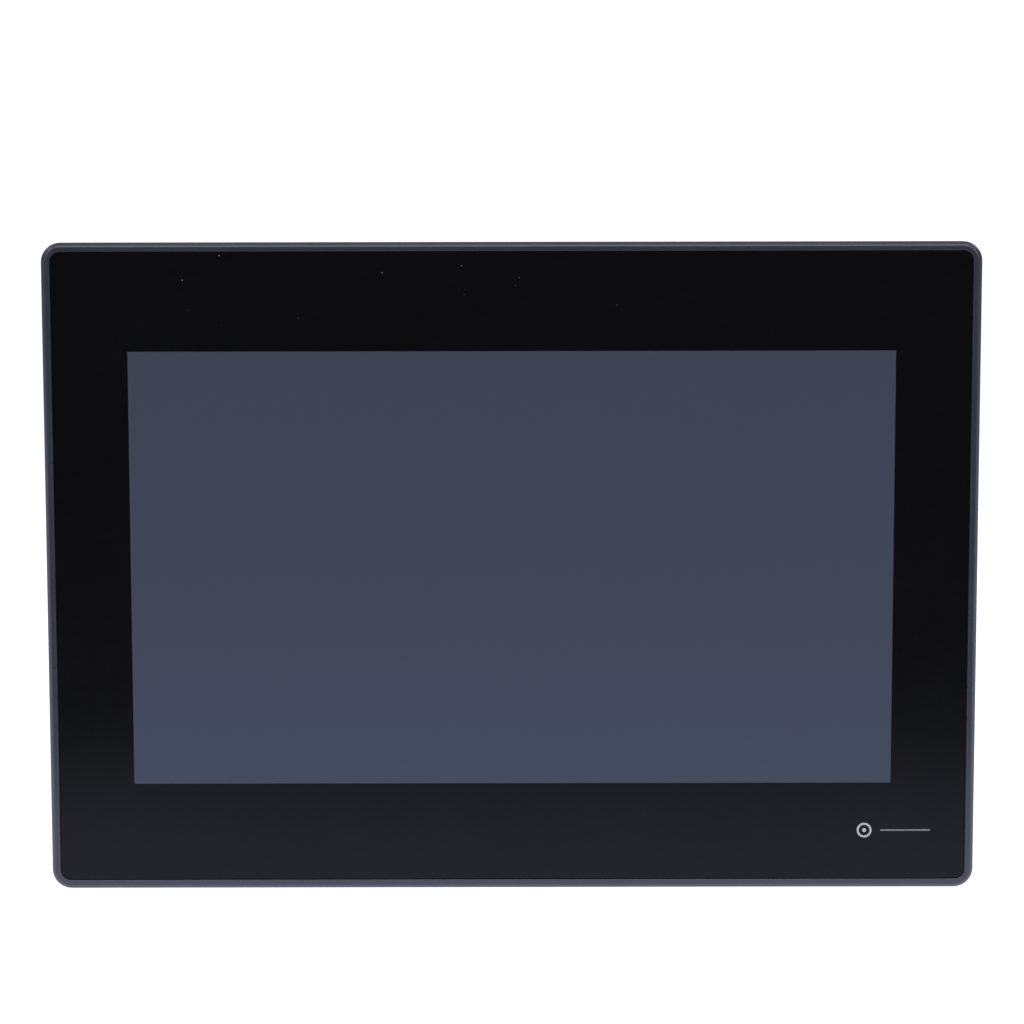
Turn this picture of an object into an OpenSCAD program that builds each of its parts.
// Panel-mount operator terminal: a 10.1 inch touch display in a flat bezel, with the
// electronics in a stepped housing behind it and four screw clamps that hold it in a
// cabinet door. Millimetres. X runs across the face, Z up, and Y from the face to the rear.
// The origin is the centre of the door cut-out, in the plane where the gasket meets the door.

/* [Bezel] */
// Width of the front bezel
bezel_w = 272; // [270:0.5:275]
// Height of the front bezel
bezel_h = 190; // [189:0.5:193]
// Corner radius of the bezel outline
bezel_r = 5.6; // [4.6:0.1:7]
// Visible width of the rim around the overlay
rim_w = 2.65; // [2.4:0.05:3.2]
// Chamfer on the outer front edge of the rim
rim_chamfer = 1.2; // [0.6:0.1:1.6]
// Depth of the overlay below the rim
overlay_sink = 0.3; // [0.1:0.05:0.4]

/* [Display] */
// Width of the clear window
window_w = 222.5; // [222:0.5:225]
// Height of the clear window
window_h = 127; // [125:0.5:128]

/* [Housing] */
// Width of the door cut-out
cutout_w = 260; // [259.5:0.5:260.5]
// Height of the door cut-out
cutout_h = 178; // [177.5:0.5:178.5]
// Depth of the housing behind the door's front face
housing_d = 34; // [34:0.5:36]
// Wall thickness of the housing
wall = 2.2; // [2:0.1:2.2]
// Chamfer on the rear edges of the housing
rear_chamfer = 3; // [1:0.5:3]

/* [Clamps] */
// Distance of the upper clamps from the middle
top_clamp_x = 80; // [78:1:90]
// Distance of the lower clamps from the middle
bottom_clamp_x = 118; // [117.5:0.25:118.5]

/* [Vents] */
// Distance from one vent slot to the next
vent_pitch = 5.2; // [4.8:0.1:6]
// Width of a vent slot
vent_w = 2.4; // [1.8:0.1:2.6]

/* [Hidden] */
$fn = 48;

// A cutting tool runs past the face it opens by this much
over = 0.5;
// Gap between parts that fit into each other
gap = 0.2;

// Layers from the face to the rear, as y values
gasket_proud = 0.8;
flange_y = -gasket_proud;
rim_y = -7;
overlay_y = rim_y + overlay_sink;
overlay_t = 0.5;
touch_y = overlay_y + overlay_t;
foam_y = touch_y + 1.8;
lcd_y = foam_y + 0.8;
cell_y = lcd_y + 0.4;
guide_y = cell_y + 1.4;
tray_y = lcd_y + 4;
tray_back_y = tray_y + 1;
plate_back_y = touch_y + 2.2;

// Display module, touch sensor and the opening that holds them
module_w = 235;
module_h = 143;
opening_w = module_w + 1;
opening_h = module_h + 1;

// Bezel underside
pocket_w = 252;
pocket_h = 170;
pocket_r = 3;
gasket_w = 3.1;
groove_w = gasket_w + 2 * gap;
groove_y = flange_y - 1.2;
lip_w = 1.5;
// Tapped holes stop this far behind the face plate, and the screws in them a little further back
hole_end_y = plate_back_y + 0.6;
screw_tip_y = plate_back_y + 1;

// Housing shell
housing_w = cutout_w - 1;
housing_h = cutout_h - 1;
housing_r = 4;
side_x = housing_w / 2;
top_z = housing_h / 2;
back_in_y = housing_d - wall;

// Vents in the top and the sides
vent_mid_y = 18.5;
vent_length = 18;

// Connector bay: a recess in the lower rear, open to the rear and downwards
bay_x = 98;
bay_y = 10;
bay_z = -50;

// Screws between housing and bezel
post_z = 79;
post_x = [117, 39];
cover_screw_spots = [for (x = post_x, s = [-1, 1], t = [-1, 1]) [s * x, t * post_z]];
post_y = 2;
post_floor = 2.5;
post_r = 4.6;
well_r = 3.4;
boss_r = 4;
cover_seat_y = post_y + post_floor;

// Straps that hold the display module
strap_spots = [for (s = [-1, 1], t = [-1, 1]) [s * 122.4, t * 45]];
strap_boss_r = 3;
strap_back_y = tray_back_y + 1;

// Thread and head radii
m3_r = 1.5;
m3_hole_r = 1.56;
m3_head_r = 2.7;
m3_clear_r = 1.66;
board_screw_r = 1.25;
board_screw_head_t = 1.6;
screw_head_t = 1.8;

// Main board
board_y = 9.4;
board_t = 1.6;
board_back = board_y + board_t;
board_x = 100;
board_bottom = bay_z + wall + 0.5;
board_top = 38;
board_screw_spots = [[-94, 30], [94, 30], [-94, -22], [94, -22], [0, 32]];
board_post_r = 3.2;

// Places of the connectors along the bay
power_x = -84;
dip_x = -62;
reset_x = -50;
usb_device_x = -37;
usb_host_x = -19;
ethernet_x = 2;
serial_female_x = 34;
serial_male_x = 72;

// Widths and heights of the ports, measured up from the board
dip_half_w = 5.9;
dip_h = 6.4;
reset_r = 1.6;
reset_y = board_back + 3;
usb_device_w = 12;
usb_device_h = 10.8;
usb_host_w = 13.2;
usb_host_h = 7.1;
ethernet_w = 16;
ethernet_h = 13.5;

// Nine-way connectors: their middle, jack screws and contacts
serial_y = board_back + 6.5;
jack_x = 12.5;
jack_shank_r = 1.45;
jack_hole_r = 1.6;
contact_pitch = 2.77;
contact_row = 1.42;

// Power connector
pole_pitch = 5.08;
socket_half_w = 8.9;
socket_top = board_back + 8.8;
plug_low = bay_y + 1.4;
plug_high = 25;
plug_top = bay_z - 0.4;
plug_bottom = plug_top - 12;
terminal_z = plug_top - 6.8;
chamber_low = plug_low + 0.8;
chamber_high = plug_high - 3.4;
terminal_head_y = plug_high - 2.7;
cage_low = plug_low + 1;
cage_h = 6.6;

terminal_r = 1.2;
terminal_head_r = 1.95;

// Option switch
dip_pitch = 2.54;
dip_slot_y = board_back + 1.4;

// Battery compartment
battery_x = 72;
battery_z = -8;
battery_well = 30;
battery_well_y = 26.4;
battery_lid = 34;
lid_t = 1.8;
lid_leg_z = 14;
coin_r = 10;
coin_y = battery_well_y + 1.1;
coin_t = 3.2;

// Rating label
label_x = -58;
label_z = -6;
label_w = 84;
label_h = 50;
label_pocket = 0.4;

// Clamps, in a local frame whose height is measured out from the housing's face
clamp_y = 20;
neck_half_x = 4.5;
neck_half_y = 2.2;
hook_half_y = 4;
slot_gap = 0.5;
block_x = 4;
block_front = 14;
block_back = 22.2;
clamp_axis = 3.3;
hook_top = -wall - 0.3;
hook_t = 1.4;
foot_r = 2.6;
foot_y = 9.6;
foot_t = 2.5;
foot_floor = 1;
clamp_shank = 20;
clamp_tip_y = foot_y + foot_floor + 0.05;
clamp_head_t = 3;
clamp_spots = [
    [-top_clamp_x, 1], [top_clamp_x, 1], [-bottom_clamp_x, -1], [bottom_clamp_x, -1]
];

// ---- Shared shapes -------------------------------------------------------------------

function unit(v) = v / norm(v);

// The points of a round corner of radius r at p, between the neighbours a and b
function corner_arc(a, p, b, r, n) =
    let (
        u = unit(a - p),
        v = unit(b - p),
        half = acos(u * v) / 2,
        c = p + unit(u + v) * r / sin(half),
        from = p + u * r / tan(half) - c,
        to = p + v * r / tan(half) - c,
        start = atan2(from[1], from[0]),
        turn = (180 - 2 * half) * sign(cross(from, to))
    )
    [for (i = [0:n]) c + r * [cos(start + turn * i / n), sin(start + turn * i / n)]];

function rounded(points, r, n = 8) =
    let (m = len(points))
    [for (i = [0:m - 1]) each corner_arc(points[(i + m - 1) % m], points[i], points[(i + 1) % m], r, n)];

function rect(w, h) = [[-w, -h] / 2, [w, -h] / 2, [w, h] / 2, [-w, h] / 2];

module rounded_rect(w, h, r) polygon(rounded(rect(w, h), r));

// An outline in X and Z, extruded from the face side to the rear side
module slab(front, back)
    translate([0, back, 0]) rotate([90, 0, 0]) linear_extrude(height = back - front) children();

// An outline in Y and Z, extruded across X
module across(w) rotate([90, 0, 90]) linear_extrude(height = w, center = true) children();

module block(low, high) translate(low) cube(high - low);

module rod_y(x, z, r, y0, y1) translate([x, y0, z]) rotate([-90, 0, 0]) cylinder(r = r, h = y1 - y0);

module rod_z(x, y, r, z0, z1) translate([x, y, z0]) cylinder(r = r, h = z1 - z0);

module frame(outer_w, outer_h, outer_r, inner_w, inner_h, inner_r)
    difference() {
        rounded_rect(outer_w, outer_h, outer_r);
        rounded_rect(inner_w, inner_h, inner_r);
    }

// A screw along Y with its head at the rear and a six-sided socket in it
module screw_y(x, z, shank_r, tip, seat, head_r, head_t)
    difference() {
        union() {
            rod_y(x, z, shank_r, tip, seat + 0.1);
            rod_y(x, z, head_r, seat, seat + head_t);
        }
        translate([x, seat + head_t - 1.1, z]) rotate([-90, 0, 0])
            cylinder(r = head_r * 0.5, h = 2, $fn = 6);
    }

// ---- Front ---------------------------------------------------------------------------

module front_bezel() color([0.21, 0.23, 0.27])
    difference() {
        union() {
            difference() {
                hull() {
                    slab(rim_y, rim_y + 0.1) bezel_outline(rim_chamfer);
                    slab(rim_y + rim_chamfer, flange_y) bezel_outline(0);
                }
                slab(plate_back_y, flange_y + over) rounded_rect(pocket_w, pocket_h, pocket_r);
            }
            for (s = cover_screw_spots) rod_y(s[0], s[1], boss_r, plate_back_y - gap, post_y);
            for (s = strap_spots) rod_y(s[0], s[1], strap_boss_r, plate_back_y - gap, tray_back_y);
        }
        slab(rim_y - over, touch_y) bezel_outline(rim_w);
        slab(touch_y - over, plate_back_y + over) square([opening_w, opening_h], center = true);
        slab(groove_y, flange_y + over) gasket_outline(groove_w, 0);
        for (s = cover_screw_spots) rod_y(s[0], s[1], m3_hole_r, hole_end_y, post_y + over);
        for (s = strap_spots) rod_y(s[0], s[1], m3_hole_r, hole_end_y, tray_back_y + over);
    }

// The bezel's outline, taken in by inset on every side
module bezel_outline(inset)
    rounded_rect(bezel_w - 2 * inset, bezel_h - 2 * inset, bezel_r - inset);

// A ring of width w, inset from the edge of the bezel by the lip and a further distance
module gasket_outline(w, inset)
    frame(
        bezel_w - 2 * (lip_w + inset), bezel_h - 2 * (lip_w + inset), bezel_r - lip_w - inset,
        bezel_w - 2 * (lip_w + inset + w), bezel_h - 2 * (lip_w + inset + w), 1
    );

module overlay_border() color([0.05, 0.05, 0.06])
    slab(overlay_y, touch_y) difference() {
        bezel_outline(rim_w + gap);
        square([window_w, window_h], center = true);
    }

module overlay_window() color([0.26, 0.28, 0.34])
    slab(overlay_y, touch_y) square([window_w, window_h], center = true);

module panel_gasket() color([0.12, 0.12, 0.12])
    slab(groove_y, 0) gasket_outline(gasket_w, gap);

module touch_sensor() color([0.6, 0.66, 0.66])
    slab(touch_y, foam_y) square([module_w, module_h], center = true);

// Flexible lead: out of the sensor's lower edge, back past the display module and up to the board
module touch_tail() color([0.75, 0.5, 0.2]) {
    t = 0.2;
    z = -module_h / 2;
    front = touch_y + 0.8;
    back = tray_back_y + 0.8;
    translate([62, 0, 0]) across(14) polygon([
        [front, z], [front, z - 2 * t], [back, z - 2 * t], [back, z + 15.5],
        [board_y, z + 31.5], [board_y, z + 41.5], [board_y - t, z + 41.5], [board_y - t, z + 31.6],
        [back - t, z + 15.6], [back - t, z - t], [front + t, z - t], [front + t, z]
    ]);
}

module foam_seal() color([0.2, 0.2, 0.2])
    slab(foam_y, lcd_y) difference() {
        square([module_w - 2, module_h - 2], center = true);
        square([window_w + 2, window_h + 2], center = true);
    }

// ---- Display module ------------------------------------------------------------------

module lcd_front_frame() color([0.62, 0.63, 0.65])
    difference() {
        slab(lcd_y, tray_y) square([module_w, module_h], center = true);
        slab(lcd_y - over, tray_y) square([window_w - 0.6, window_h - 0.6], center = true);
        slab(cell_y, tray_y + over) square([module_w - 1, module_h - 1], center = true);
    }

module lcd_cell() color([0.24, 0.26, 0.32])
    slab(cell_y, guide_y) square([module_w - 3, module_h - 3], center = true);

module light_guide() color([0.9, 0.92, 0.94])
    slab(guide_y, tray_y) square([module_w - 4, module_h - 4], center = true);

module lcd_rear_tray() color([0.7, 0.71, 0.72])
    slab(tray_y, tray_back_y) square([module_w, module_h], center = true);

// Flat ribbon from the back of the module to the front of the board
module lcd_ribbon() color([0.85, 0.86, 0.88]) {
    t = 0.3;
    translate([-10, 0, 0]) across(30) polygon([
        [tray_back_y, -62], [tray_back_y + t, -62], [tray_back_y + t, -42.2], [board_y, -30.2],
        [board_y, -22], [board_y - t, -22], [board_y - t, -30], [tray_back_y, -42]
    ]);
}

module lcd_straps() color([0.72, 0.72, 0.7])
    for (s = strap_spots) translate([s[0], 0, s[1]]) mirror([s[0] > 0 ? 0 : 1, 0, 0]) difference() {
        block([-10.4, tray_back_y, -4.5], [3, strap_back_y, 4.5]);
        rod_y(0, 0, m3_clear_r, tray_back_y - over, strap_back_y + over);
    }

module strap_screws() color([0.75, 0.75, 0.77])
    for (s = strap_spots)
        screw_y(s[0], s[1], m3_r, screw_tip_y, strap_back_y, m3_head_r, screw_head_t);

// ---- Housing -------------------------------------------------------------------------

// The housing's outer form, taken in by inset on every side and opened to the given front
module housing_form(inset, front) {
    x = side_x - inset;
    z = top_z - inset;
    y = housing_d - inset;
    c = rear_chamfer - inset * (2 - sqrt(2));
    intersection() {
        slab(front, y) rounded_rect(2 * x, 2 * z, housing_r - inset / 2);
        across(2 * side_x + 1) polygon([
            [front, -z], [y - c, -z], [y, -z + c], [y, z - c], [y - c, z], [front, z]
        ]);
        linear_extrude(height = 2 * top_z + 1, center = true) polygon([
            [-x, front], [-x, y - c], [-x + c, y], [x - c, y], [x, y - c], [x, front]
        ]);
    }
}

// The bay, grown by the given amount into the housing
module bay_form(grow) {
    x = bay_x + grow;
    block([-x, bay_y - grow, -top_z - 10], [x, housing_d + 10, bay_z + grow]);
}

module battery_box(w, front, back) translate([battery_x, 0, battery_z])
    slab(front, back) rounded_rect(w, w, 2);

// A row of slots across X, each with its length along Y
module vents(count, length)
    for (i = [0:count - 1]) translate([(i - (count - 1) / 2) * vent_pitch, 0])
        polygon(rounded(rect(vent_w, length), vent_w / 2 - 0.05, 3));

module rear_vents(count, length, x, z)
    slab(back_in_y - over, housing_d + over) translate([x, z]) vents(count, length);

module top_vents()
    translate([0, vent_mid_y, top_z - wall - over])
        linear_extrude(height = wall + 2 * over) vents(22, vent_length);

module side_vents()
    for (s = [-1, 1]) translate([s * (side_x - wall / 2), vent_mid_y, 20])
        across(wall + 2 * over) rotate(90) vents(9, vent_length);

// A D-shaped outline in X and Y, wider at its rear side
module d_outline(w, h) {
    x = w / 2;
    y = h / 2;
    lean = 1.4;
    polygon(rounded([[lean - x, -y], [x - lean, -y], [x, y], [-x, y]], 1.6, 5));
}

module serial_opening(x) {
    translate([x, serial_y, bay_z - over]) linear_extrude(height = wall + 2 * over) d_outline(18.4, 9.8);
    for (s = [-1, 1]) rod_z(x + s * jack_x, serial_y, 1.75, bay_z - over, bay_z + wall + over);
}

module port_opening(x, half_w, h)
    block(
        [x - half_w - gap, board_back - gap, bay_z - over],
        [x + half_w + gap, board_back + h + gap, bay_z + wall + over]
    );

// A T-shaped slot: the hook goes in through the wide end and slides into the narrow end
module clamp_slot(spot) {
    low = spot[1] * top_z - (spot[1] > 0 ? wall + over : over);
    translate([spot[0], clamp_y, low]) mirror([spot[0] > 0 ? 1 : 0, 0, 0])
        linear_extrude(height = wall + 2 * over) {
            narrow = neck_half_x + slot_gap;
            wide = narrow + 2 * neck_half_x + 1;
            square([2 * narrow, 2 * (neck_half_y + 0.2)], center = true);
            translate([narrow - 0.1, -hook_half_y - 0.4])
                square([wide - narrow + 0.2, 2 * hook_half_y + 0.8]);
        }
}

module rear_cover() color([0.13, 0.14, 0.16])
    difference() {
        union() {
            difference() {
                housing_form(0, flange_y);
                bay_form(0);
                difference() {
                    housing_form(wall, flange_y - 1);
                    bay_form(wall);
                }
            }
            for (s = cover_screw_spots)
                rod_y(s[0], s[1], post_r, post_y, s[1] < 0 && abs(s[0]) < bay_x ? bay_y - 1 : back_in_y + 1);
            for (s = board_screw_spots) rod_y(s[0], s[1], board_post_r, board_back, back_in_y + 1);
            battery_box(battery_lid + 4, battery_well_y - 1.6, back_in_y + 1);
        }
        for (s = cover_screw_spots) {
            rod_y(s[0], s[1], well_r, cover_seat_y, housing_d + 1);
            rod_y(s[0], s[1], m3_clear_r, post_y - over, cover_seat_y + over);
        }
        for (s = board_screw_spots)
            rod_y(s[0], s[1], board_screw_r + 0.05, board_back - over, board_back + 8);
        battery_box(battery_well, battery_well_y, housing_d + 1);
        battery_box(battery_lid + 2 * gap, housing_d - lid_t - gap, housing_d + 1);
        translate([label_x, 0, label_z])
            slab(housing_d - label_pocket, housing_d + 1) rounded_rect(label_w, label_h, 2);
        rear_vents(17, 24, -56, 56);
        rear_vents(17, 24, 56, 56);
        rear_vents(12, 6, label_x, -40);
        top_vents();
        side_vents();
        // Connector openings
        port_opening(power_x, socket_half_w, socket_top - board_back);
        port_opening(dip_x, dip_half_w, dip_h);
        rod_z(reset_x, reset_y, reset_r + 2 * gap, bay_z - over, bay_z + wall + over);
        port_opening(usb_device_x, usb_device_w / 2, usb_device_h);
        port_opening(usb_host_x, usb_host_w / 2, usb_host_h);
        port_opening(ethernet_x, ethernet_w / 2, ethernet_h);
        serial_opening(serial_female_x);
        serial_opening(serial_male_x);
        for (s = clamp_spots) clamp_slot(s);
    }

module cover_screws() color([0.2, 0.2, 0.22])
    for (s = cover_screw_spots)
        screw_y(s[0], s[1], m3_r, screw_tip_y, cover_seat_y, 2.9, screw_head_t);

module rating_label() color([0.78, 0.79, 0.8])
    translate([label_x, 0, label_z])
        slab(housing_d - label_pocket, housing_d - label_pocket + 0.2)
            rounded_rect(label_w - 1, label_h - 1, 1.6);

module battery_cover() color([0.15, 0.16, 0.18])
    difference() {
        union() {
            battery_box(battery_lid, housing_d - lid_t, housing_d);
            for (s = [-1, 1]) translate([battery_x, 0, battery_z + s * lid_leg_z])
                slab(housing_d - lid_t - 3.4, housing_d - lid_t + 0.1) square([7, 1.2], center = true);
        }
        translate([battery_x, 0, battery_z + 12])
            slab(housing_d - 0.8, housing_d + 1) rounded_rect(12, 4, 1.5);
    }

module coin_cell() color([0.8, 0.8, 0.8])
    rod_y(battery_x, battery_z, coin_r, coin_y, coin_y + coin_t);

module battery_holder() color([0.08, 0.08, 0.08])
    difference() {
        rod_y(battery_x, battery_z, coin_r + 2, battery_well_y, battery_well_y + 3);
        rod_y(battery_x, battery_z, coin_r + 0.15, coin_y, coin_y + coin_t);
        block([battery_x - 4, coin_y, battery_z - 13], [battery_x + 4, coin_y + coin_t, battery_z - 8]);
    }

// ---- Electronics ---------------------------------------------------------------------

module main_board() color([0.05, 0.3, 0.2])
    difference() {
        block([-board_x, board_y, board_bottom], [board_x, board_back, board_top]);
        for (s = board_screw_spots) rod_y(s[0], s[1], 1.7, board_y - over, board_back + over);
    }

module board_screws() color([0.75, 0.75, 0.77])
    for (s = board_screw_spots) translate([s[0], 0, s[1]]) rotate([0, 0, 180])
        screw_y(0, 0, board_screw_r, -(board_back + 6), -board_y, m3_head_r, board_screw_head_t);

module processor_chip() color([0.1, 0.1, 0.1])
    block([-30, board_back, 0], [-13, board_back + 1.4, 17]);

// A square plate with fins that stand along Z
module heat_sink() color([0.35, 0.36, 0.38]) {
    base = board_back + 1.4;
    low = [-41.5, -11.5];
    side = 40;
    fin_pitch = 4.8;
    block([low[0], base, low[1]], [low[0] + side, base + 2, low[1] + side]);
    for (i = [0:8]) translate([low[0] + i * fin_pitch, 0, 0])
        block([0, base + 1.9, low[1]], [1.6, base + 9, low[1] + side]);
}

module memory_chips() color([0.12, 0.12, 0.13])
    for (x = [6, 22], z = [-6, 12]) block([x, board_back, z], [x + 10, board_back + 1.1, z + 13]);

module power_coils() color([0.2, 0.2, 0.22])
    for (x = [-84, -66]) rod_y(x, -12, 6, board_back, board_back + 6);

module capacitors() color([0.1, 0.15, 0.35])
    for (x = [-86, -74, -62]) rod_y(x, 10, 4, board_back, board_back + 10);

module power_socket() color([0.1, 0.45, 0.2])
    translate([power_x, 0, 0]) {
        difference() {
            block([-socket_half_w, board_back, bay_z], [socket_half_w, socket_top, bay_z + 12]);
            block(
                [-socket_half_w + 1, board_back + 0.9, bay_z - over],
                [socket_half_w - 1, socket_top - 0.9, bay_z + 7.6]
            );
        }
        for (i = [-1, 0, 1]) translate([i * pole_pitch, 0, 0])
            block([-0.5, board_back + 3.9, bay_z + 1.5], [0.5, board_back + 4.9, bay_z + 7.7]);
    }

module power_plug() color([0.12, 0.5, 0.24])
    translate([power_x, 0, 0]) difference() {
        union() {
            block([-8.6, plug_low, plug_bottom], [8.6, plug_high, plug_top]);
            block([-7.6, board_back + 1.2, plug_top - 0.1], [7.6, socket_top - 1.2, bay_z + 7]);
        }
        for (i = [-1, 0, 1]) translate([i * pole_pitch, 0, 0]) {
            block([-0.8, board_back + 3.6, bay_z - 0.4], [0.8, board_back + 5.2, bay_z + 7 + over]);
            block([-2.3, chamber_low, terminal_z - 3], [2.3, chamber_high, terminal_z + 3]);
            block([-1.8, cage_low + 0.8, plug_bottom - over], [1.8, cage_low + 4.6, terminal_z]);
            rod_y(0, terminal_z, terminal_r + 0.1, chamber_high - over, plug_high);
            rod_y(0, terminal_z, terminal_head_r + 0.15, terminal_head_y - 0.1, plug_high + over);
        }
    }

module at_pole(i) translate([power_x + (i - 2) * pole_pitch, 0, terminal_z]) children();

module terminal_screw(i) color([0.75, 0.75, 0.72])
    at_pole(i) difference() {
        union() {
            rod_y(0, 0, terminal_r, chamber_high - 5.2, terminal_head_y + 0.1);
            rod_y(0, 0, terminal_head_r, terminal_head_y, plug_high - 0.6);
        }
        block([-0.35, plug_high - 1.5, -3], [0.35, plug_high, 3]);
    }

// Box nut round the wire: the screw turns in place and draws it towards the screw's head
module terminal_cage(i) color([0.7, 0.68, 0.6])
    at_pole(i) difference() {
        block([-2.1, cage_low, -2.6], [2.1, cage_low + cage_h, 2.6]);
        block([-1.5, cage_low + 0.9, -3], [1.5, cage_low + cage_h - 1, 3]);
        rod_y(0, 0, terminal_r + 0.06, cage_low + cage_h - 2, cage_low + cage_h + over);
    }

module dip_switch_base() color([0.1, 0.25, 0.6])
    translate([dip_x, 0, 0]) difference() {
        block([-dip_half_w, board_back, bay_z - 0.4], [dip_half_w, board_back + dip_h, bay_z + 6]);
        for (i = [0:3]) translate([(i - 1.5) * dip_pitch, 0, 0])
            block([-0.7, dip_slot_y, bay_z - 1], [0.7, dip_slot_y + 3.6, bay_z + 1.6]);
    }

module dip_slider(i) color([0.92, 0.92, 0.9])
    translate([dip_x + (i - 2.5) * dip_pitch, 0, 0])
        block([-0.55, dip_slot_y + 0.1, bay_z - 1.2], [0.55, dip_slot_y + 1.5, bay_z + 1.4]);

module reset_switch_base() color([0.15, 0.15, 0.15])
    translate([reset_x, 0, 0]) difference() {
        block([-3, board_back, bay_z + wall + 0.3], [3, board_back + 6, bay_z + wall + 4.3]);
        rod_z(0, reset_y, reset_r + 0.06, bay_z + wall, bay_z + wall + 2.8);
    }

module reset_button() color([0.85, 0.86, 0.86])
    rod_z(reset_x, reset_y, reset_r, bay_z - 0.8, bay_z + wall + 1.5);

// A metal shell around a plastic tongue, open downwards
module usb_port(x, w, h, cavity_w, cavity_h, tongue_w, tongue_t, tongue_y) translate([x, board_back, 0]) {
    mouth = bay_z - 1.2;
    depth = 12;
    cavity_y = (h - cavity_h) / 2;
    difference() {
        block([-w / 2, 0, mouth], [w / 2, h, mouth + 17]);
        block([-cavity_w / 2, cavity_y, mouth - over], [cavity_w / 2, cavity_y + cavity_h, mouth + depth]);
    }
    block([-tongue_w / 2, tongue_y, mouth + 1], [tongue_w / 2, tongue_y + tongue_t, mouth + depth + over]);
}

module usb_device_port() color([0.72, 0.73, 0.75])
    usb_port(usb_device_x, usb_device_w, usb_device_h, 8.5, 7.8, 5.6, 3.2, 4);

module usb_host_port() color([0.72, 0.73, 0.75])
    usb_port(usb_host_x, usb_host_w, usb_host_h, 12.2, 5.1, 11.1, 1.84, 3.6);

module ethernet_jack() color([0.7, 0.71, 0.73])
    translate([ethernet_x, board_back, 0]) difference() {
        block([-ethernet_w / 2, 0, bay_z - 0.8], [ethernet_w / 2, ethernet_h, bay_z + 20]);
        block([-5.95, 3.2, bay_z - 2], [5.95, 10.2, bay_z + 12]);
        block([-3.1, 1.6, bay_z - 2], [3.1, 4, bay_z + 12]);
        block([-1.7, 0.6, bay_z - 2], [1.7, 4, bay_z + 12]);
    }

// The contacts of a nine-way connector: five in one row and four in the other
module contact_grid()
    for (row = [0, 1], i = [0:4 - row])
        translate([(i - 2 + row / 2) * contact_pitch, contact_row * (1 - 2 * row), 0]) children();

module serial_body(x, shell_w, shell_h) translate([x, serial_y, 0]) {
    block([-15.4, -6.3, bay_z + wall + 0.3], [15.4, 6.3, bay_z + wall + 1.1]);
    block([-9.6, -6.3, bay_z + wall + 1], [9.6, 5.4, bay_z + 13]);
    translate([0, 0, bay_z - 3.6]) linear_extrude(height = wall + 4.4) d_outline(shell_w, shell_h);
}

module serial_jack_holes(x)
    for (s = [-1, 1]) rod_z(x + s * jack_x, serial_y, jack_hole_r, bay_z, bay_z + 6);

module serial_port_female() color([0.6, 0.61, 0.63])
    difference() {
        serial_body(serial_female_x, 16.4, 8);
        serial_jack_holes(serial_female_x);
        translate([serial_female_x, serial_y, bay_z - 4]) contact_grid()
            cylinder(r = 0.6, h = 5, $fn = 8);
    }

module serial_port_male() color([0.6, 0.61, 0.63]) {
    difference() {
        serial_body(serial_male_x, 17, 8.4);
        serial_jack_holes(serial_male_x);
        translate([serial_male_x, serial_y, bay_z - 4]) linear_extrude(height = 6) d_outline(16.2, 7.6);
    }
    translate([serial_male_x, serial_y, bay_z - 3]) contact_grid() cylinder(r = 0.5, h = 5.2, $fn = 8);
}

module jack_screws() color([0.75, 0.75, 0.72])
    for (x = [serial_female_x, serial_male_x], s = [-1, 1])
        translate([x + s * jack_x, serial_y, 0]) difference() {
            union() {
                translate([0, 0, bay_z - 5]) cylinder(r = 2.7, h = 5, $fn = 6);
                rod_z(0, 0, jack_shank_r, bay_z - 0.1, bay_z + 5);
            }
            rod_z(0, 0, 1.15, bay_z - 6, bay_z - 0.6);
        }

// ---- Clamps --------------------------------------------------------------------------

// Puts a clamp, drawn with its height above the housing along Z, on its spot
module at_clamp(i) {
    spot = clamp_spots[i - 1];
    translate([spot[0], 0, spot[1] * top_z]) mirror([0, 0, spot[1] > 0 ? 0 : 1]) children();
}

module clamp_bracket(i) color([0.68, 0.69, 0.7])
    at_clamp(i) difference() {
        union() {
            block(
                [-neck_half_x, clamp_y - hook_half_y, hook_top - hook_t],
                [neck_half_x, clamp_y + hook_half_y, hook_top]
            );
            block(
                [-neck_half_x, clamp_y - neck_half_y, hook_top - 0.1],
                [neck_half_x, clamp_y + neck_half_y, 0.4]
            );
            block([-block_x - 2, block_front - 1, 0.3], [block_x + 2, block_back, 1.5]);
            block([-block_x, block_front, 0.3], [block_x, block_back, 6]);
        }
        rod_y(0, clamp_axis, m3_hole_r, block_front - 2, block_back + 2);
    }

module clamp_foot(i) color([0.1, 0.1, 0.1])
    at_clamp(i) difference() {
        rod_y(0, clamp_axis, foot_r, foot_y, foot_y + foot_t);
        rod_y(0, clamp_axis, m3_hole_r, foot_y + foot_floor, foot_y + foot_t + over);
    }

module clamp_screw(i) color([0.8, 0.8, 0.78])
    at_clamp(i)
        screw_y(0, clamp_axis, m3_r, clamp_tip_y, clamp_tip_y + clamp_shank, m3_head_r, clamp_head_t);

front_bezel();
overlay_border();
overlay_window();
panel_gasket();
touch_sensor();
touch_tail();
foam_seal();
lcd_front_frame();
lcd_cell();
light_guide();
lcd_rear_tray();
lcd_ribbon();
lcd_straps();
strap_screws();
rear_cover();
cover_screws();
rating_label();
battery_cover();
coin_cell();
battery_holder();
main_board();
board_screws();
processor_chip();
heat_sink();
memory_chips();
power_coils();
capacitors();
power_socket();
power_plug();
for (i = [1:3]) terminal_screw(i);
for (i = [1:3]) terminal_cage(i);
dip_switch_base();
for (i = [1:4]) dip_slider(i);
reset_switch_base();
reset_button();
usb_device_port();
usb_host_port();
ethernet_jack();
serial_port_female();
serial_port_male();
jack_screws();
for (i = [1:4]) clamp_bracket(i);
for (i = [1:4]) clamp_foot(i);
for (i = [1:4]) clamp_screw(i);
